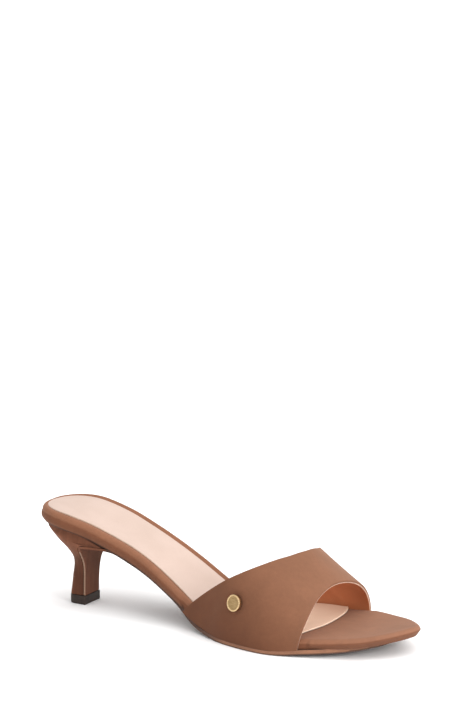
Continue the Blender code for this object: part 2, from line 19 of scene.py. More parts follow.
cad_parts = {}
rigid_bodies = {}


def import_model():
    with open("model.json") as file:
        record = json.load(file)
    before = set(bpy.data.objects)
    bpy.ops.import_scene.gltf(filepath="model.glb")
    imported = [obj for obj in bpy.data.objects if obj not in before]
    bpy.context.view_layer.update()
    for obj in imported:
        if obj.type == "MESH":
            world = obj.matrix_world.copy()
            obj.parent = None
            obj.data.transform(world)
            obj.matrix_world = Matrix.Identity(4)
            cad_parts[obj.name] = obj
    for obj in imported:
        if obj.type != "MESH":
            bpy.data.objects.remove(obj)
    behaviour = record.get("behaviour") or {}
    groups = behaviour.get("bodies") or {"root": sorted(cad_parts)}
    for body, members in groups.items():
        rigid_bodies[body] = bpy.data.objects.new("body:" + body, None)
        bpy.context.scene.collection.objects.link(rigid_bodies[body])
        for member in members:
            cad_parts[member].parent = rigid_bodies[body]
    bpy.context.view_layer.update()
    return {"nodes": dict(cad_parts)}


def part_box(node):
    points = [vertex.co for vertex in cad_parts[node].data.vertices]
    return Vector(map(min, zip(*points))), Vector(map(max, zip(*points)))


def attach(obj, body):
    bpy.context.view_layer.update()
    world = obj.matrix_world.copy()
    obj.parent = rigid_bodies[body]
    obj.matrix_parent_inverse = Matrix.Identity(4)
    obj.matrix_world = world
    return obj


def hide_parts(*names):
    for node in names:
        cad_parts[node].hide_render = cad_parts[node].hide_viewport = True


for thing in list(bpy.data.objects):
    bpy.data.objects.remove(thing, do_unlink=True)

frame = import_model()
MM = 0.001

# %% [markdown]
# ## Camera
# The shoe is seen from its outer side, a little from the front and from above, through a long
# lens. It sits low in a tall frame. The lens axis is tipped up for that, without any lens shift, so
# a view from any other side stays centred too.

# %% Place the camera
AIM = Vector((0.0, 0.001, 0.025))          # point of the shoe that the framing is measured from
AZIMUTH, ELEVATION = math.radians(32.17), math.radians(14.56)
DISTANCE = 1.5
FRAME_W, FRAME_H = 460, 706
AIM_PIXEL = (227.0, 579.6)
FOCAL_PIXELS = 2690.5

toward = Vector((math.sin(AZIMUTH) * math.cos(ELEVATION),
                 -math.cos(AZIMUTH) * math.cos(ELEVATION), math.sin(ELEVATION)))
bpy.ops.object.camera_add(location=AIM + DISTANCE * toward)
camera = bpy.context.object
camera.name = "camera"
camera.data.sensor_width = 36.0
camera.data.lens = FOCAL_PIXELS * 36.0 / FRAME_H
tip_up = math.atan((AIM_PIXEL[1] - FRAME_H / 2) / FOCAL_PIXELS)
turn_aside = math.atan((FRAME_W / 2 - AIM_PIXEL[0]) / FOCAL_PIXELS)
camera.rotation_euler = (math.pi / 2 - ELEVATION + tip_up, 0.0, AZIMUTH - turn_aside)
camera.data.clip_end = 100.0
bpy.context.scene.camera = camera
print("lens mm:", round(camera.data.lens, 1), "tipped up by", round(math.degrees(tip_up), 2))

# %% [markdown]
# ## Working by operator
# Operators act on whatever is selected, and the loaded solids come in selected. Two small helpers
# keep that under control: one leaves nothing selected, the other selects one piece alone. A third
# makes the working copy that most pieces start from: it duplicates a solid, welds its loose
# triangles and pairs them back into quads, because bevels and subdivision need an even mesh.
# A fourth rounds the sharp edges and then refines the skin, so that it can be shifted finely.

# %% Helpers for selecting, copying and refining


def nothing_selected():
    if bpy.context.mode != "OBJECT":
        bpy.ops.object.mode_set(mode="OBJECT")
    bpy.ops.object.select_all(action="DESELECT")


def only(piece):
    nothing_selected()
    piece.select_set(True)
    bpy.context.view_layer.objects.active = piece


def copy_of_solid(node, name):
    only(frame["nodes"][node])
    bpy.ops.object.duplicate()
    piece = bpy.context.object
    piece.name = piece.data.name = name
    for key in [k for k in piece.keys() if k.startswith("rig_")]:
        del piece[key]
    piece.data.materials.clear()
    bpy.ops.object.mode_set(mode="EDIT")
    bpy.ops.mesh.select_all(action="SELECT")
    bpy.ops.mesh.remove_doubles(threshold=0.001 * MM)
    bpy.ops.mesh.tris_convert_to_quads(face_threshold=math.radians(50),
                                       shape_threshold=math.radians(60))
    bpy.ops.object.mode_set(mode="OBJECT")
    return piece


def round_and_refine(piece, edge_width, edge_angle, levels, segments=2):
    """Soften the edges sharper than edge_angle, then subdivide the whole skin."""
    only(piece)
    bevel = piece.modifiers.new("soft edges", "BEVEL")
    bevel.width, bevel.segments = edge_width, segments
    bevel.limit_method, bevel.angle_limit = "ANGLE", math.radians(edge_angle)
    bpy.ops.object.modifier_apply(modifier=bevel.name)
    refine = piece.modifiers.new("refine", "SUBSURF")
    refine.levels = refine.render_levels = levels
    bpy.ops.object.modifier_apply(modifier=refine.name)
    bpy.ops.object.shade_smooth()


# %% [markdown]
# ## Measuring and shifting a skin
# The refined corners are read into a table, shifted by soft fades, and written back. Three measures
# say where a corner lies: how far in from the piece's outline in plan, how far below its top, and
# how far from some axis.

# %% Helpers for measuring and shifting


def corners(piece):
    at = np.empty(len(piece.data.vertices) * 3)
    piece.data.vertices.foreach_get("co", at)
    return at.reshape(-1, 3)


def set_corners(piece, at):
    piece.data.vertices.foreach_set("co", np.ascontiguousarray(at).ravel())
    piece.data.update()


def corner_normals(piece):
    out = np.empty(len(piece.data.vertices) * 3)
    piece.data.vertices.foreach_get("normal", out)
    return out.reshape(-1, 3)


def fade(value, start, end):
    """Smooth step from 0 at start to 1 at end; start may be the larger one."""
    t = np.clip((np.asarray(value) - start) / (end - start), 0.0, 1.0)
    return t * t * (3 - 2 * t)


def tree_of(points):
    tree = KDTree(len(points))
    for index, point in enumerate(points):
        tree.insert(point, index)
    tree.balance()
    return tree


def inward_of(at, ring):
    """Distance in plan from each point to the nearest point of a ring."""
    tree = tree_of([(x, y, 0.0) for x, y in ring[:, :2]])
    return np.array([tree.find((x, y, 0.0))[2] for x, y in at[:, :2]])


def side_ring(piece):
    """Points where a sheet's side stands upright, that is, its outline in plan."""
    return corners(piece)[np.abs(corner_normals(piece)[:, 2]) < 0.35]


def in_plan(normals):
    """The same directions without their height, of length 1."""
    flat = normals[:, :2]
    return flat / np.maximum(np.linalg.norm(flat, axis=1), 1e-6)[:, None]


def around_axis(at, centre, axis):
    """Height along an axis and distance from it."""
    off = at - np.array(centre)
    height = off @ np.array(axis)
    return height, np.linalg.norm(off - np.outer(height, np.array(axis)), axis=1)


CARRY_ON = 8 * MM


def level_of(piece, sign, margin):
    """Height of a sheet's top (sign 1) or bottom (-1) along x, read further in than a margin.

    Its slope is carried on past both ends.
    """
    at, out = corners(piece), corner_normals(piece)
    flat = at[(sign * out[:, 2] > 0.5) & (inward_of(at, side_ring(piece)) > margin)]
    x = np.round(flat[:, 0], 4)
    keep, place = np.unique(x, return_inverse=True)
    total = np.zeros(len(keep))
    np.add.at(total, place, flat[:, 2])
    level = total / np.bincount(place)
    rear = (level[0] - level[4]) / (keep[0] - keep[4])
    fore = (level[-1] - level[-5]) / (keep[-1] - keep[-5])
    return (np.concatenate(([keep[0] - CARRY_ON], keep, [keep[-1] + CARRY_ON])),
            np.concatenate(([level[0] - rear * CARRY_ON], level, [level[-1] + fore * CARRY_ON])))


def finish_piece(piece, node):
    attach(piece, "root")
    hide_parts(node)
    print(piece.name, "faces:", len(piece.data.polygons))


# %% [markdown]
# ## Nubuck
# Nubuck is leather whose grain side has been sanded to a very short nap. Close up it is matt and
# slightly mottled: broad cloudy patches where the nap lies another way, a fine tooth of about a
# quarter of a millimetre, and a soft sheen towards its outlines. Noise at three scales in Object
# coordinates gives that, because the pattern then stays on the leather from every side. A slope
# paints light and shade into a piece's colour, lighter one way and darker the other, and a mark
# stored at its corners paints shade along its joints and on its side.

# %% Make the nubuck


def shader_nodes(name):
    finish = bpy.data.materials.new(name)
    finish.use_nodes = True
    nodes, links = finish.node_tree.nodes, finish.node_tree.links
    return finish, nodes, links, nodes["Principled BSDF"]


def noise_at(nodes, links, vector, size, detail=2.0, roughness=0.5, distortion=0.0):
    """Noise whose features are about size metres across."""
    texture = nodes.new("ShaderNodeTexNoise")
    texture.inputs["Scale"].default_value = 1.0 / size
    texture.inputs["Detail"].default_value = detail
    texture.inputs["Roughness"].default_value = roughness
    texture.inputs["Distortion"].default_value = distortion
    links.new(vector, texture.inputs["Vector"])
    return texture


def ramp(nodes, links, value, stops):
    """Colour ramp with named stops: a list of (position, colour)."""
    strip = nodes.new("ShaderNodeValToRGB")
    elements = strip.color_ramp.elements
    while len(elements) < len(stops):
        elements.new(0.5)
    for element, (place, colour) in zip(elements, stops):
        element.position = place
        element.color = (*colour, 1.0)
    links.new(value, strip.inputs["Fac"])
    return strip


def blend_colours(nodes, links, share, first, second, kind="MIX"):
    mix = nodes.new("ShaderNodeMix")
    mix.data_type, mix.blend_type = "RGBA", kind
    for socket, value in ((0, share), (6, first), (7, second)):
        if isinstance(value, (int, float)):
            mix.inputs[socket].default_value = value
        elif isinstance(value, tuple):
            mix.inputs[socket].default_value = (*value, 1.0)
        else:
            links.new(value, mix.inputs[socket])
    return mix.outputs[2]


def bump(nodes, links, height, depth, strength, under=None):
    relief = nodes.new("ShaderNodeBump")
    relief.inputs["Distance"].default_value = depth
    relief.inputs["Strength"].default_value = strength
    links.new(height, relief.inputs["Height"])
    if under is not None:
        links.new(under, relief.inputs["Normal"])
    return relief.outputs["Normal"]


def shades(colour, *factors):
    return [tuple(f * c for c in colour) for f in factors]


def painted_light_slope(nodes, links, place, toward, start, end, low, high):
    """Painted light and shade: a slow change of tone from low to high along one direction."""
    along = nodes.new("ShaderNodeVectorMath")
    along.operation = "DOT_PRODUCT"
    along.inputs[1].default_value = Vector(toward).normalized()
    links.new(place, along.inputs[0])
    share = nodes.new("ShaderNodeMapRange")
    share.interpolation_type = "SMOOTHSTEP"
    share.inputs["From Min"].default_value, share.inputs["From Max"].default_value = start, end
    links.new(along.outputs["Value"], share.inputs["Value"])
    return blend_colours(nodes, links, share.outputs["Result"], low, high)


def tone_by_mark(nodes, links, mark, stops):
    """Tone set by a number stored at the piece's own vertices."""
    stored = nodes.new("ShaderNodeAttribute")
    stored.attribute_name = mark
    return ramp(nodes, links, stored.outputs["Fac"], stops).outputs["Color"]


def store_mark(piece, mark, values):
    layer = piece.data.attributes.new(mark, "FLOAT", "POINT")
    layer.data.foreach_set("value", np.ascontiguousarray(values, dtype=np.float32))


def nubuck(name, colour, nap=0.14, stretch=(1.0, 1.0, 1.0), clouding=0.08, cloud_size=20 * MM,
           slope=None, mark=None, marked=()):
    """Sanded leather: faint clouds, fine tooth, short pale sheen."""
    finish, nodes, links, shader = shader_nodes(name)
    place = nodes.new("ShaderNodeTexCoord").outputs["Object"]
    turned = nodes.new("ShaderNodeMapping")
    turned.inputs["Scale"].default_value = stretch
    links.new(place, turned.inputs["Vector"])
    clouds = noise_at(nodes, links, turned.outputs["Vector"], cloud_size, 3.0, 0.55, 0.6)
    brushed = noise_at(nodes, links, turned.outputs["Vector"], 2.4 * MM, 3.0, 0.6, 0.3)
    tooth = noise_at(nodes, links, place, 0.28 * MM, 3.0, 0.65)
    dark, mid, light = shades(colour, 1 - clouding, 1.0, 1 + clouding)
    broad = ramp(nodes, links, clouds.outputs["Fac"], [(0.30, dark), (0.52, mid), (0.74, light)])
    mottle = ramp(nodes, links, brushed.outputs["Fac"],
                  [(0.32, (0.955,) * 3), (0.68, (1.04,) * 3)])
    grainy = ramp(nodes, links, tooth.outputs["Fac"], [(0.30, (0.92,) * 3), (0.70, (1.08,) * 3)])
    tone = blend_colours(nodes, links, 1.0, broad.outputs["Color"], mottle.outputs["Color"],
                         "MULTIPLY")
    tone = blend_colours(nodes, links, 0.8, tone, grainy.outputs["Color"], "MULTIPLY")
    # Painted light and shade: lighter one way, darker the other.
    if slope:
        tone = blend_colours(nodes, links, 1.0, tone, painted_light_slope(nodes, links, place, *slope),
                             "MULTIPLY")
    # Painted shade, and a little painted light, from the mark stored at the corners.
    if mark:
        tone = blend_colours(nodes, links, 1.0, tone, tone_by_mark(nodes, links, mark, marked),
                             "MULTIPLY")
    links.new(tone, shader.inputs["Base Color"])
    rough = nodes.new("ShaderNodeMapRange")
    rough.inputs["To Min"].default_value, rough.inputs["To Max"].default_value = 0.72, 0.90
    links.new(brushed.outputs["Fac"], rough.inputs["Value"])
    links.new(rough.outputs["Result"], shader.inputs["Roughness"])
    fine = bump(nodes, links, tooth.outputs["Fac"], 0.07 * MM, 0.5)
    links.new(bump(nodes, links, brushed.outputs["Fac"], 0.09 * MM, 0.3, fine),
              shader.inputs["Normal"])
    shader.inputs["Specular IOR Level"].default_value = 0.12
    shader.inputs["Sheen Weight"].default_value = nap
    shader.inputs["Sheen Roughness"].default_value = 0.5
    shader.inputs["Sheen Tint"].default_value = (1.0, 0.78, 0.62, 1.0)
    return finish


# Painted light and shade: the band is darker low and towards the heel, lighter high and towards the
# toe.
band_nubuck = nubuck("band_nubuck", (0.190, 0.081, 0.043),
                     slope=((0.62, 0.25, 0.74), 4 * MM, 62 * MM, (0.60, 0.49, 0.42),
                            (1.03, 1.07, 1.12)))
# Painted light and shade: the footbed is lighter towards the toe; its mark paints the side below
# the groove darker and the shadow lines nearly black.
rand_nubuck = nubuck("footbed_nubuck", (0.222, 0.096, 0.053), nap=0.10, cloud_size=14 * MM,
                     slope=((1, 0, 0), 62 * MM, 116 * MM, (1.0, 1.0, 1.0), (1.05, 1.12, 1.20)),
                     mark="painted_shade_mark",
                     marked=[(0.0, (1.0, 1.0, 1.0)), (0.5, (0.66, 0.58, 0.54)),
                             (1.0, (0.20, 0.17, 0.16))])
# Painted light and shade: the heel is lighter towards the top; its mark paints the joint under the
# footbed nearly black as shadow, the front of the stem darker, and the rest a little lighter.
heel_nubuck = nubuck("heel_nubuck", (0.118, 0.040, 0.020), nap=0.10, stretch=(1.0, 1.0, 0.10),
                     clouding=0.22, cloud_size=4.5 * MM,
                     slope=((0, 0, 1), 22 * MM, 44 * MM, (1.0, 1.0, 1.0), (1.45, 1.65, 1.85)),
                     mark="painted_shade_mark",
                     marked=[(0.0, (1.08, 1.08, 1.08)), (0.5, (0.74, 0.76, 0.78)),
                             (1.0, (0.16, 0.14, 0.13))])
print("nubuck finishes:", band_nubuck.name, rand_nubuck.name, heel_nubuck.name)

# %% [markdown]
# ## Smooth leathers
# Lining, sock and cut edges are leather too, but with the grain left on or with an end that shows
# its fibres. The sock is pale and faintly pebbled; the band's lining is orange-brown and catches a
# little light; a cut edge is lighter and fuzzy.

# %% Make the lining, the sock and the cut edges


def grain_leather(name, low, high, pore=0.8 * MM, depth=0.06 * MM, gloss=0.5, front=None):
    """Leather with its grain: shallow pebbles, fine creases and slow changes of colour."""
    finish, nodes, links, shader = shader_nodes(name)
    place = nodes.new("ShaderNodeTexCoord").outputs["Object"]
    cells = nodes.new("ShaderNodeTexVoronoi")
    cells.feature = "SMOOTH_F1"
    cells.inputs["Scale"].default_value = 1.0 / pore
    cells.inputs["Smoothness"].default_value = 0.35
    links.new(place, cells.inputs["Vector"])
    slow = noise_at(nodes, links, place, 22 * MM, 2.0, 0.5, 0.3)
    fine = noise_at(nodes, links, place, 0.35 * MM, 2.0)
    tone = ramp(nodes, links, slow.outputs["Fac"], [(0.28, low), (0.72, high)])
    specks = ramp(nodes, links, fine.outputs["Fac"], [(0.3, (0.95,) * 3), (0.7, (1.04,) * 3)])
    colour = blend_colours(nodes, links, 1.0, tone.outputs["Color"], specks.outputs["Color"],
                           "MULTIPLY")
    # Painted light: the sock is made lighter and warmer towards the toe.
    if front:
        painted_toe_light = painted_light_slope(nodes, links, place, (1, 0, 0), 0.0, 50 * MM, (1.0, 1.0, 1.0), front)
        colour = blend_colours(nodes, links, 1.0, colour, painted_toe_light, "MULTIPLY")
    links.new(colour, shader.inputs["Base Color"])
    pebbles = bump(nodes, links, cells.outputs["Distance"], depth, 0.35)
    links.new(bump(nodes, links, fine.outputs["Fac"], 0.03 * MM, 0.3, pebbles),
              shader.inputs["Normal"])
    shader.inputs["Roughness"].default_value = gloss
    shader.inputs["Specular IOR Level"].default_value = 0.35
    return finish


def cut_edge(name, low, high, slope=None):
    """Cut or skived leather: fibres in thin layers along the edge."""
    finish, nodes, links, shader = shader_nodes(name)
    place = nodes.new("ShaderNodeTexCoord").outputs["Object"]
    flat = nodes.new("ShaderNodeMapping")
    flat.inputs["Scale"].default_value = (1.0, 1.0, 3.5)
    links.new(place, flat.inputs["Vector"])
    fibres = noise_at(nodes, links, flat.outputs["Vector"], 0.9 * MM, 4.0, 0.6, 0.4)
    patches = noise_at(nodes, links, place, 9 * MM, 2.0)
    tone = ramp(nodes, links, fibres.outputs["Fac"], [(0.32, low), (0.66, high)])
    wear = ramp(nodes, links, patches.outputs["Fac"], [(0.35, (0.88,) * 3), (0.65, (1.08,) * 3)])
    colour = blend_colours(nodes, links, 1.0, tone.outputs["Color"], wear.outputs["Color"],
                           "MULTIPLY")
    # Painted shade along one direction, where a slope is given.
    if slope:
        colour = blend_colours(nodes, links, 1.0, colour, painted_light_slope(nodes, links, place, *slope),
                               "MULTIPLY")
    links.new(colour, shader.inputs["Base Color"])
    links.new(bump(nodes, links, fibres.outputs["Fac"], 0.12 * MM, 0.4), shader.inputs["Normal"])
    shader.inputs["Roughness"].default_value = 0.62
    shader.inputs["Specular IOR Level"].default_value = 0.3
    return finish


# The sock's front factor is painted light: lighter and warmer towards the toe.
sock_leather = grain_leather("sock_leather", (0.485, 0.365, 0.305), (0.525, 0.400, 0.340),
                             gloss=0.6, front=(1.50, 1.46, 1.28))
band_lining = grain_leather("band_lining", (0.50, 0.172, 0.072), (0.60, 0.225, 0.105), gloss=0.48)
band_edge = cut_edge("band_cut_edge", (0.52, 0.33, 0.24), (0.62, 0.43, 0.33))
# Painted shade: the sole's tan edge fades darker towards the waist.
sole_edge = cut_edge("sole_cut_edge", (0.21, 0.092, 0.050), (0.29, 0.135, 0.076),
                     slope=((1, 0, 0), -2 * MM, 26 * MM, (0.26, 0.26, 0.28), (1.0, 1.0, 1.0)))
flap_edge = cut_edge("flap_cut_edge", (0.20, 0.110, 0.070), (0.29, 0.172, 0.115))
# Painted shadow: the sole's edge along the waist is nearly black.
waist_shadow_edge = cut_edge("waist_shadow_edge", (0.050, 0.022, 0.014), (0.075, 0.034, 0.021))
sock_edge = cut_edge("sock_cut_edge", (0.42, 0.305, 0.235), (0.50, 0.38, 0.305))
print("leathers:", sock_leather.name, band_lining.name, band_edge.name, sole_edge.name)

# %% [markdown]
# ## The vamp band
# One strip of nubuck, lined with leather and lasted over the forefoot, is the whole upper. Its
# solid already has the arch and an even wall. What it lacks is what makes it leather: soft
# corners, a lining of another colour, a pale edge, and slight unevenness where the strip was
# pulled over the last. The faces are sorted by where they look: away from the foot is nubuck,
# towards it is lining, and the narrow rest is edge.

# %% Copy the band and sort its faces
band = copy_of_solid("upper_band", "vamp_band")
for leather in (band_nubuck, band_lining, band_edge):
    band.data.materials.append(leather)
NUBUCK, LINING, EDGE = 0, 1, 2
ARCH_MIDDLE = 8.0 * MM                     # height of the line that the arch goes round
LASTED_FOOT = 6.0 * MM                     # below it, faces that look down are edge
for face in band.data.polygons:
    away = Vector((0.0, face.center.y, 0.9 * (face.center.z - ARCH_MIDDLE)))
    if abs(face.normal.x) > 0.80 or (face.normal.z < -0.85 and face.center.z < LASTED_FOOT):
        face.material_index = EDGE
    else:
        face.material_index = NUBUCK if face.normal.dot(away) > 0 else LINING
kinds = [face.material_index for face in band.data.polygons]
print("nubuck, lining, edge faces:", [kinds.count(kind) for kind in (NUBUCK, LINING, EDGE)])
round_and_refine(band, 0.35 * MM, 42, 2)
print("band faces after refining:", len(band.data.polygons))

# %% [markdown]
# The strip's edges are turned: the nubuck is folded over and stops against the lining, whose own
# pale edge shows as a fine line inside. So the outer part of each edge goes back to nubuck.

# %% Fold the nubuck over the edges
FOLDED_SHARE = 0.66                        # share of the wall's thickness covered by the nubuck
trees = [tree_of([f.center.copy() for f in band.data.polygons if f.material_index == kind])
         for kind in (NUBUCK, LINING)]
folded = 0
for face in band.data.polygons:
    if face.material_index == EDGE:
        to_nubuck, to_lining = (tree.find(face.center)[2] for tree in trees)
        if to_nubuck * (1 - FOLDED_SHARE) < to_lining * FOLDED_SHARE:
            face.material_index = NUBUCK
            folded += 1
print("edge faces folded over:", folded)

# %% [markdown]
# The rivet pulls the leather in around it, and the strip stands in very soft waves where it was
# stretched. Both are laid on: a shallow dish round the rivet's centre, and a short table
# of troughs and ridges, each with a middle, a direction, a length, a width and a depth. Smooth
# fades keep them from reading as dents.

# %% Rivet's dish, soft troughs and ridges
rivet_low, rivet_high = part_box("rivet")
rivet_points = corners(frame["nodes"]["rivet"])
rivet_centre = Vector((rivet_low + rivet_high) / 2)
_, _, axes = np.linalg.svd(rivet_points - rivet_points.mean(axis=0), full_matrices=False)
rivet_axis = Vector(axes[2])
rivet_axis *= -1 if rivet_axis.y > 0 else 1
print("rivet centre mm:", [round(v / MM, 1) for v in rivet_centre], "axis:",
      [round(v, 2) for v in rivet_axis])

WAVES = [
    # middle x, y, z      runs along x, y, z    length width depth, all in mm
    ((12, -33, 18), (0.60, 0.10, 0.78), 22, 4.5, -0.22),
    ((19, -35, 17), (0.60, 0.10, 0.78), 20, 4.0, 0.16),
    ((52, -32, 28), (-0.25, 0.65, 0.70), 26, 6.0, -0.20),
    ((60, -34, 15), (0.10, 0.10, 1.00), 18, 4.0, 0.18),
    ((38, -18, 43), (0.55, 0.75, 0.10), 24, 7.0, -0.18),
    ((18, 32, 18), (0.55, -0.10, 0.80), 22, 4.5, -0.20),
    ((50, 33, 26), (-0.20, -0.60, 0.70), 24, 6.0, -0.18),
]


DISH_REACH = 12 * MM
DISH_DEPTH, DISH_WIDE = 0.38 * MM, 5.6 * MM
SWELL_HEIGHT, SWELL_AT, SWELL_WIDE = 0.10 * MM, 7.2 * MM, 1.4 * MM    # low ring around the dish

skin, out = corners(band), corner_normals(band)
_, ring = around_axis(skin, rivet_centre, rivet_axis)
round_rivet = (ring < DISH_REACH) & (out @ np.array(rivet_axis) > 0.3)
dish = np.where(round_rivet, SWELL_HEIGHT * np.exp(-((ring - SWELL_AT) / SWELL_WIDE) ** 2)
                - DISH_DEPTH * np.exp(-(ring / DISH_WIDE) ** 4), 0.0)
set_corners(band, skin + out * dish[:, None])

skin, out = corners(band), corner_normals(band)
moved = np.zeros(len(skin))
for middle, run, length, width, depth in WAVES:
    lengthwise, aside = around_axis(skin, np.array(middle) * MM, Vector(run).normalized())
    moved += depth * MM * np.exp(-(lengthwise / (length * MM / 2)) ** 2
                                 - (aside / (width * MM)) ** 2)
set_corners(band, skin + out * moved[:, None])
print("deepest trough, highest ridge in mm:",
      round(moved.min() / MM, 2), round(moved.max() / MM, 2))
finish_piece(band, "upper_band")

# %% [markdown]
# ## Footbed
# A board wrapped in the same nubuck. Its rim is padded: behind the band it stands up as a soft roll
# around the sock, and a fine groove under the roll shows where the side strip begins. At the back
# the side comes straight down to the heel. All of it is a shift of the refined skin, measured by
# the depth below the footbed's top and by the distance inward from its outline. Painted shade is
# stored as a mark, from 0 to 1, that the nubuck reads: the side strip darker, and dark shadow
# lines at heel and band.

# %% Wrap the footbed and raise its rim
RIM_RISE, MEDIAL_MORE = 0.95 * MM, 0.35       # the roll, and how much higher its inner side is
RIM_CREST, RIM_FOOT = 2.2 * MM, 4.6 * MM      # distance inward of the roll's crest and of its foot
RIM_STARTS = (6 * MM, -10 * MM)               # behind the band
ROLL_DEPTH = 2.1 * MM                         # groove below the top
GROOVE_DEPTH, GROOVE_WIDE = 0.30 * MM, 0.42 * MM
REAR_FLARE = 1.3 * MM
SOFT = 0.35 * MM                              # half width of a tone's border
SHADED_EDGE = 0.75 * MM                       # painted shadow: dark line along the lower edge of the side
TUCK_BEHIND, TUCK_WIDE = 0.9 * MM, 1.1 * MM   # shade in the corner behind the band

footbed = copy_of_solid("footbed", "wrapped_footbed")
footbed.data.materials.append(rand_nubuck)
round_and_refine(footbed, 0.25 * MM, 55, 2)
skin, out = corners(footbed), corner_normals(footbed)
inward = inward_of(skin, side_ring(footbed))
top_level, foot_level = level_of(footbed, 1, 4.0 * MM), level_of(footbed, -1, 2.6 * MM)
print("levels of the footbed known at", len(top_level[0]), "and", len(foot_level[0]), "places")
depth = np.interp(skin[:, 0], *top_level) - skin[:, 2]
behind_band = fade(skin[:, 0], *RIM_STARTS)
medial = 1 + MEDIAL_MORE * fade(skin[:, 1], -2 * MM, 8 * MM)
rise = (RIM_RISE * medial * behind_band * fade(inward, RIM_FOOT, RIM_CREST)
        * fade(depth, 2.6 * MM, 0.4 * MM))
on_side = fade(np.abs(out[:, 2]), 0.85, 0.55) * fade(inward, 2.0 * MM, 1.0 * MM)
groove = (-GROOVE_DEPTH * behind_band * on_side
          * np.exp(-((depth - ROLL_DEPTH) / GROOVE_WIDE) ** 2))
rear = fade(skin[:, 0], -78 * MM, -100 * MM)
flare = REAR_FLARE * rear * fade(depth, 2.2 * MM, 6.0 * MM) * fade(inward, 7 * MM, 2.5 * MM)
skin[:, 2] += rise
skin[:, :2] += in_plan(out) * (groove + flare)[:, None]
set_corners(footbed, skin)
# Painted shade, stored as a mark: the side below the groove darker, a shadow line along the side's
# lower edge, and shade in the corner behind the band.
above_foot = skin[:, 2] - np.interp(skin[:, 0], *foot_level)
strip = fade(depth, ROLL_DEPTH - SOFT, ROLL_DEPTH + SOFT)
shaded = fade(above_foot, SHADED_EDGE + SOFT, SHADED_EDGE) * fade(skin[:, 0], 0, -12 * MM)
band_back = float(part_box("upper_band")[0][0])
print("band begins at x mm:", round(band_back / MM, 1))
tuck_shade = (np.exp(-((skin[:, 0] - band_back + TUCK_BEHIND) / TUCK_WIDE) ** 2)
          * fade(depth, 3.0 * MM, 5.0 * MM))
shaded = np.maximum(shaded, 0.9 * tuck_shade)
store_mark(footbed, "painted_shade_mark", 0.5 * np.maximum(strip, shaded) + 0.5 * shaded)
print("rim raised by mm:", round(rise.max() / MM, 2), "groove mm:", round(-groove.min() / MM, 2))
finish_piece(footbed, "footbed")

# %% [markdown]
# ## Sock lining
# A sheet of pale leather glued on the footbed, level with the foot of the rolled rim. Its upper
# face keeps the grain, and the cut side of the sheet shows as a fine light line, so the faces that
# look sideways get the cut edge finish.

# %% Lay the sock lining
SOCK_SINK = 0.40 * MM
SOCK_BACK = 2.8 * MM                          # the sheet reaches further back than its solid

sock = copy_of_solid("sock_lining", "sock")
for leather in (sock_leather, sock_edge):
    sock.data.materials.append(leather)
for face in sock.data.polygons:
    face.material_index = 0 if abs(face.normal.z) > 0.7 or face.area > 20 * MM * MM else 1
round_and_refine(sock, 0.12 * MM, 35, 2)
skin = corners(sock)
skin[:, 0] -= SOCK_BACK * fade(skin[:, 0], -88 * MM, -114 * MM)
skin[:, 2] -= SOCK_SINK * fade(skin[:, 0], 8 * MM, -12 * MM)
set_corners(sock, skin)
finish_piece(sock, "sock_lining")

# %% [markdown]
# ## Outsole
# Leatherboard: dark and worn smooth underneath, pale tan where its edge is cut and waxed. The edge
# shows as a thin light line under the band and beside the heel's breast; at the waist it is painted
# nearly black as shadow, and along the floor its lowest part is painted dark as contact shadow.

# %% Trim the outsole
WAIST_END, FLAP_START = -6 * MM, -75 * MM   # between them the sole's edge is painted dark, as shadow
BREAST_TOP = 33.5 * MM                      # above it the flap's edge is covered
CONTACT_SHADE_EDGE = 0.75 * MM                       # lower part of the edge, painted dark as contact shadow along the floor
TOE_SKIVE = (86 * MM, 116 * MM)             # the sole is pared thin towards the toe's tip
TIP_BACK = 3.0 * MM                         # and ends that much behind it
GLUE_LIFT, FRONT_LIFT = 0.26 * MM, 0.34 * MM    # upper edge pressed up against the footbed

sole_face = cut_edge("sole_underside", (0.075, 0.036, 0.022), (0.110, 0.054, 0.033))
sole = copy_of_solid("outsole", "leather_outsole")
sole_top = level_of(sole, 1, 0.5 * MM)
for leather in (sole_edge, sole_face, waist_shadow_edge, flap_edge, heel_nubuck):
    sole.data.materials.append(leather)
for face in sole.data.polygons:
    x, _, z = face.center
    side = abs(face.normal.y) > 0.5
    if x > WAIST_END:
        face.material_index = 0 if side else 1
    elif x > FLAP_START:
        face.material_index = 2 if side else 1
    else:
        face.material_index = 3 if side and z < BREAST_TOP else 4
round_and_refine(sole, 0.22 * MM, 40, 2)
skin = corners(sole)
under = np.interp(skin[:, 0], *sole_top) - skin[:, 2]
skin[:, 2] += 0.8 * fade(skin[:, 0], *TOE_SKIVE) * np.maximum(under, 0.0)
skin[:, 0] -= TIP_BACK * fade(skin[:, 0], 104 * MM, 116 * MM)
glued = fade(skin[:, 0], WAIST_END, WAIST_END + 20 * MM)
ahead_of_band = fade(skin[:, 0], 50 * MM, 62 * MM) * fade(skin[:, 0], 104 * MM, 84 * MM)
skin[:, 2] += ((GLUE_LIFT + FRONT_LIFT * ahead_of_band) * glued
               * fade(under, 0.6 * MM, 0.2 * MM))
set_corners(sole, skin)
store_mark(sole, "painted_shade_mark", np.full(len(skin), 0.15))     # the flap's nubuck reads it
sole_foot = level_of(sole, -1, 1.0 * MM)
# Painted contact shadow: the lowest part of the tan edge gets the dark underside finish.
for face in sole.data.polygons:
    x, _, z = face.center
    if face.material_index == 0 and z < np.interp(x, *sole_foot) + CONTACT_SHADE_EDGE:
        face.material_index = 1
finish_piece(sole, "outsole")

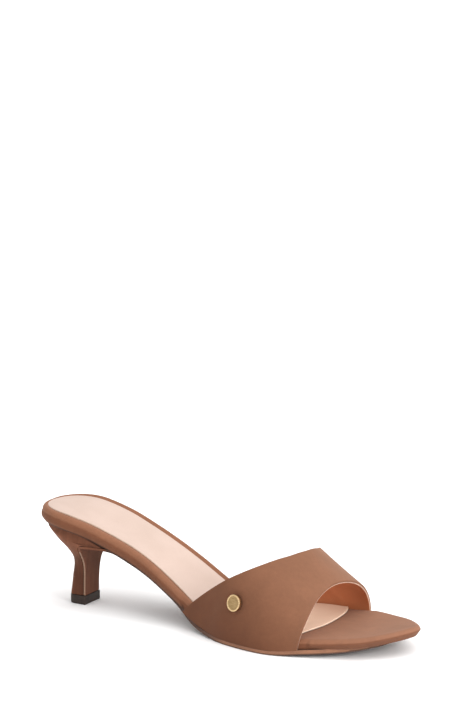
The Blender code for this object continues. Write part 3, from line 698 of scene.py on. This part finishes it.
# %% [markdown]
# ## Heel and top lift
# The heel is a moulded block covered in nubuck that was pulled tight down the stem, so its mottling
# is drawn out lengthwise. Over the neck it lies smooth, and the top spreads a little to meet the
# seat, with a painted shadow line where they join. Its colour is painted lighter towards the top
# and darker on the front of the stem, as light and shade. The lift is a hard rubber tip, nearly
# black.

# %% Cover the heel
OUTER_BACK = np.array([-0.846, -0.533, 0.0])
TIP_MORE, TOP_FLARE = 0.7 * MM, 1.7 * MM
HEEL_NECK, NECK_PASSES = 31 * MM, 14


def fuller(normals, share):
    """A little more on the outer back side, for the tip's slight flare."""
    faces_it = np.clip(normals @ OUTER_BACK, 0.0, 1.0)
    return TIP_MORE * OUTER_BACK * (faces_it * share)[:, None]


heel = copy_of_solid("heel", "covered_heel")
heel.data.materials.append(heel_nubuck)
round_and_refine(heel, 0.5 * MM, 50, 2)
only(heel)
bpy.ops.object.mode_set(mode="EDIT")
bpy.ops.mesh.select_mode(type="VERT")
bpy.ops.mesh.select_all(action="DESELECT")
bpy.ops.object.mode_set(mode="OBJECT")
for vertex in heel.data.vertices:
    vertex.select = vertex.co.z > HEEL_NECK
bpy.ops.object.mode_set(mode="EDIT")
bpy.ops.mesh.vertices_smooth(factor=0.5, repeat=NECK_PASSES)
bpy.ops.object.mode_set(mode="OBJECT")
skin, out = corners(heel), corner_normals(heel)
flare = TOP_FLARE * fade(skin[:, 2], 33 * MM, 46 * MM) * fade(skin[:, 0], -86 * MM, -104 * MM)
skin[:, :2] += in_plan(out) * (flare * fade(np.abs(out[:, 2]), 0.95, 0.7))[:, None]
skin += fuller(out, fade(skin[:, 2], 27 * MM, 16 * MM))
set_corners(heel, skin)
# Painted shade, stored as a mark: a nearly black shadow line just below the footbed, and the front
# of the stem below the neck darker.
below_footbed = np.interp(skin[:, 0], *foot_level) - skin[:, 2]
joint_shadow = fade(below_footbed, 2.2 * MM, 1.2 * MM)
flank_shade = fade(skin[:, 0], -99.5 * MM, -95.5 * MM) * fade(skin[:, 2], 36 * MM, 28 * MM)
store_mark(heel, "painted_shade_mark", np.maximum(0.5 * flank_shade, joint_shadow))
finish_piece(heel, "heel")

# %% Cut the top lift


def hard_rubber(name, colour):
    finish, nodes, links, shader = shader_nodes(name)
    place = nodes.new("ShaderNodeTexCoord").outputs["Object"]
    grit = noise_at(nodes, links, place, 0.4 * MM, 3.0, 0.6)
    scuffs = noise_at(nodes, links, place, 4.0 * MM, 3.0, 0.6, 0.8)
    tone = ramp(nodes, links, scuffs.outputs["Fac"],
                [(0.35, colour), (0.75, tuple(1.9 * c for c in colour))])
    links.new(tone.outputs["Color"], shader.inputs["Base Color"])
    links.new(bump(nodes, links, grit.outputs["Fac"], 0.05 * MM, 0.5), shader.inputs["Normal"])
    shader.inputs["Roughness"].default_value = 0.6
    shader.inputs["Specular IOR Level"].default_value = 0.3
    return finish


lift = copy_of_solid("top_lift", "rubber_lift")
lift.data.materials.append(hard_rubber("lift_rubber", (0.020, 0.012, 0.009)))
round_and_refine(lift, 0.30 * MM, 40, 1)
skin = corners(lift)
set_corners(lift, skin + fuller(corner_normals(lift), np.ones(len(skin))))
finish_piece(lift, "top_lift")

# %% [markdown]
# ## Rivet
# A turned brass head: a raised rim around a shallow brushed dish. A cylinder of the rivet's own
# width is set on the solid's axis, its top is inset and pushed down, and the corners are bevelled.

# %% Turn the rivet


def brushed_brass(name, dark, light, gloss):
    finish, nodes, links, shader = shader_nodes(name)
    place = nodes.new("ShaderNodeTexCoord").outputs["Object"]
    along = nodes.new("ShaderNodeMapping")
    along.inputs["Scale"].default_value = (0.25, 1.0, 3.0)
    along.inputs["Rotation"].default_value = (0.0, math.radians(28), 0.0)
    links.new(place, along.inputs["Vector"])
    brush = noise_at(nodes, links, along.outputs["Vector"], 0.7 * MM, 4.0, 0.65)
    tone = ramp(nodes, links, brush.outputs["Fac"], [(0.30, dark), (0.70, light)])
    links.new(tone.outputs["Color"], shader.inputs["Base Color"])
    rough = nodes.new("ShaderNodeMapRange")
    rough.inputs["To Min"].default_value, rough.inputs["To Max"].default_value = gloss
    links.new(brush.outputs["Fac"], rough.inputs["Value"])
    links.new(rough.outputs["Result"], shader.inputs["Roughness"])
    links.new(bump(nodes, links, brush.outputs["Fac"], 0.05 * MM, 0.5), shader.inputs["Normal"])
    shader.inputs["Metallic"].default_value = 1.0
    return finish


RIM_SPREAD, RIM_WIDE = 0.40 * MM, 0.90 * MM      # kept free for the bevels; width of the rim
along_axis, off_axis = around_axis(rivet_points, rivet_centre, rivet_axis)
rivet_r = float(off_axis.max()) - RIM_SPREAD
rivet_h = float(along_axis.max() - along_axis.min())
nothing_selected()
bpy.ops.mesh.primitive_cylinder_add(vertices=64, radius=rivet_r, depth=rivet_h,
                                    location=rivet_centre,
                                    rotation=rivet_axis.to_track_quat("Z", "Y").to_euler())
rivet = bpy.context.object
rivet.name = rivet.data.name = "rivet_head"
bpy.ops.object.transform_apply(location=True, rotation=True, scale=True)


def select_top(piece):
    """In edit mode, select the round face that looks along the rivet's axis."""
    bpy.ops.mesh.select_all(action="DESELECT")
    mesh = bmesh.from_edit_mesh(piece.data)
    top = max((f for f in mesh.faces if len(f.verts) > 4), key=lambda f: f.normal.dot(rivet_axis))
    top.select_set(True)
    mesh.select_flush_mode()
    bmesh.update_edit_mesh(piece.data)


RIM_STEPS = [
    # inset, rise of the face, both in mm
    (0.30, 0.22),
    (0.30, 0.08),
    (0.25, -0.14),
    (0.15, -0.22),
    (1.30, 0.02),
]
bpy.ops.object.mode_set(mode="EDIT")
bpy.ops.mesh.select_mode(type="FACE")
for inset, rise in RIM_STEPS:
    select_top(rivet)
    bpy.ops.mesh.inset(thickness=inset * MM, depth=rise * MM)
bpy.ops.object.mode_set(mode="OBJECT")
# The rim's brass is painted lighter, as highlight, and the dish's brass darker, as shade; the rim
# is also polished smoother than the brushed dish.
rivet.data.materials.append(brushed_brass("rivet_rim_brass", (0.52, 0.36, 0.18),
                                          (0.72, 0.52, 0.29), (0.22, 0.36)))
rivet.data.materials.append(brushed_brass("rivet_face_brass", (0.22, 0.14, 0.06),
                                          (0.46, 0.32, 0.16), (0.34, 0.50)))
round_and_refine(rivet, 0.08 * MM, 25, 1)
for face in rivet.data.polygons:
    off = face.center - rivet_centre
    off -= off.dot(rivet_axis) * rivet_axis
    face.material_index = 1 if off.length < rivet_r - RIM_WIDE else 0
finish_piece(rivet, "rivet")
print("rivet radius, height in mm:", round(rivet_r / MM, 2), round(rivet_h / MM, 2))

# %% [markdown]
# ## Floor and light
# The shoe stands on a pale sweep of floor in a white surround. The surround glows more from above
# and from behind the toe, which gives the soft grey shadow between heel and ball, and one small
# lamp ahead of the toe lights the forepart. The floor isn't part of the shoe.

# %% Lay the floor, hang the lamp and light the surround
nothing_selected()
bpy.ops.mesh.primitive_plane_add(size=60.0, location=(0.0, 0.0, 0.0))
floor = bpy.context.object
floor.name = "floor"
paper, _, _, shader = shader_nodes("floor_paper")
shader.inputs["Base Color"].default_value = (0.95, 0.95, 0.95, 1.0)
shader.inputs["Roughness"].default_value = 0.85
shader.inputs["Specular IOR Level"].default_value = 0.1
floor.data.materials.append(paper)

LAMP_AT = Vector((1.25, -0.40, 0.52))
LAMP_SIZE, LAMP_WATTS = 0.5, 9.0
nothing_selected()
bpy.ops.object.light_add(type="AREA", location=LAMP_AT)
lamp = bpy.context.object
lamp.name = "toe_side"
lamp.data.size, lamp.data.energy = LAMP_SIZE, LAMP_WATTS
lamp.rotation_euler = (AIM - LAMP_AT).to_track_quat("-Z", "Y").to_euler()

SKY_BASE, SKY_GLOW, GLOW_POWER = 1.00, 1.6, 4.0
GLOW_FROM = Vector((0.42, 0.12, 0.90)).normalized()      # ahead of the toe, behind, and high
surround = bpy.data.worlds.new("surround")
surround.use_nodes = True
nodes, links = surround.node_tree.nodes, surround.node_tree.links
facing = nodes.new("ShaderNodeVectorMath")
facing.operation = "DOT_PRODUCT"
facing.inputs[1].default_value = GLOW_FROM
links.new(nodes.new("ShaderNodeTexCoord").outputs["Generated"], facing.inputs[0])
lit = nodes.new("ShaderNodeMath")
lit.operation, lit.inputs[1].default_value = "MAXIMUM", 0.0
links.new(facing.outputs["Value"], lit.inputs[0])
glow = nodes.new("ShaderNodeMath")
glow.operation, glow.inputs[1].default_value = "POWER", GLOW_POWER
links.new(lit.outputs[0], glow.inputs[0])
strength = nodes.new("ShaderNodeMath")
strength.operation = "MULTIPLY_ADD"
strength.inputs[1].default_value, strength.inputs[2].default_value = SKY_GLOW, SKY_BASE
links.new(glow.outputs[0], strength.inputs[0])
links.new(strength.outputs[0], nodes["Background"].inputs["Strength"])
nodes["Background"].inputs["Color"].default_value = (1.0, 1.0, 1.0, 1.0)
bpy.context.scene.world = surround
bpy.context.scene.view_settings.view_transform = "Standard"
